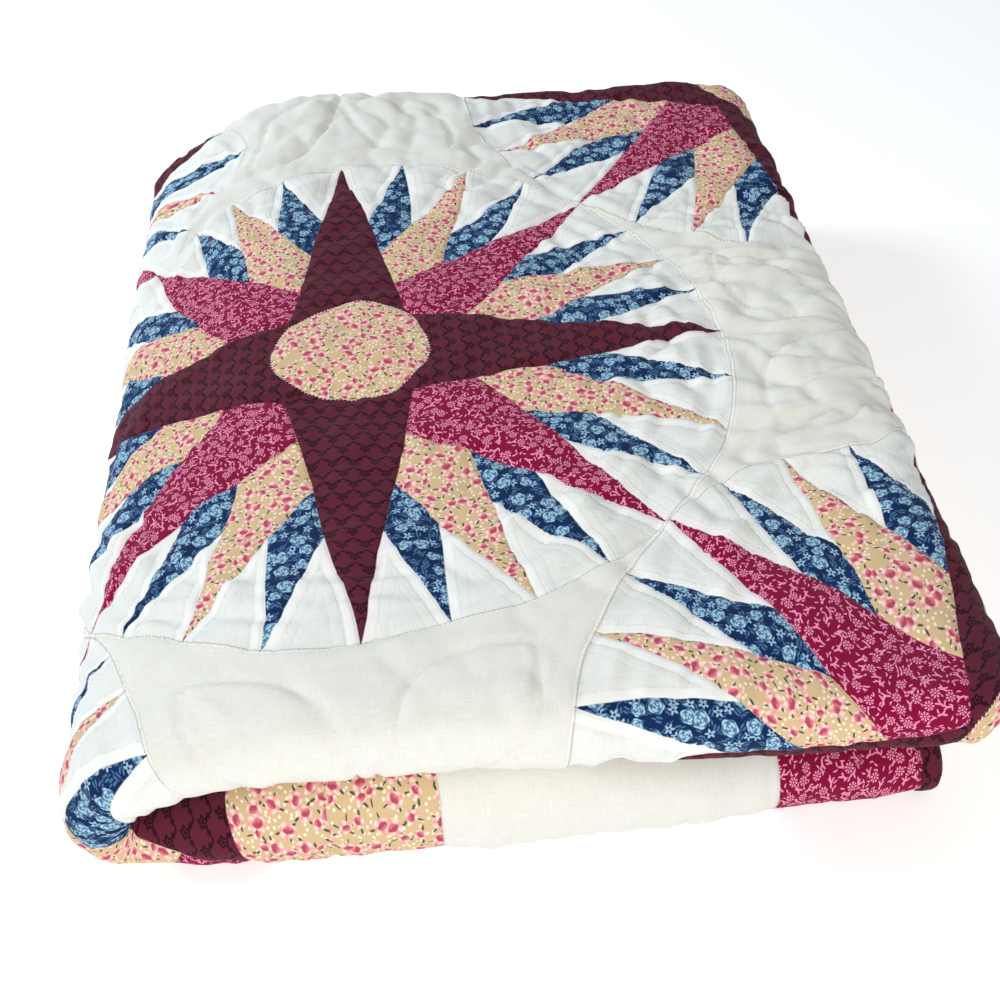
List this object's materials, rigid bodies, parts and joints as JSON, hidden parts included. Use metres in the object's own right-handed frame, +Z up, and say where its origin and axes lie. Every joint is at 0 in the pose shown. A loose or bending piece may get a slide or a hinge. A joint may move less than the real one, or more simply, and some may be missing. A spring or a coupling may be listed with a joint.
{
  "type": "folded quilt blanket",
  "caption": "Pieced cotton star quilt with a bound edge, letter-folded both ways into a thick rectangular pile for a bed, chair or shelf.",
  "frame": {"origin": "on the floor, under the middle of the folded pile", "axes": "+Z up from the floor through the pile, +Y along the long side to the back, +X to the side where the free edge of the lowest strip shows"},
  "size_m": [0.5266, 0.7088, 0.1234],
  "materials": {
    "quilt": "matte quilted printed cotton",
    "binding": "matte printed cotton"
  },
  "bodies": {
    "root": {"quilt": "quilt", "binding": "binding"}
  },
  "joints": []
}
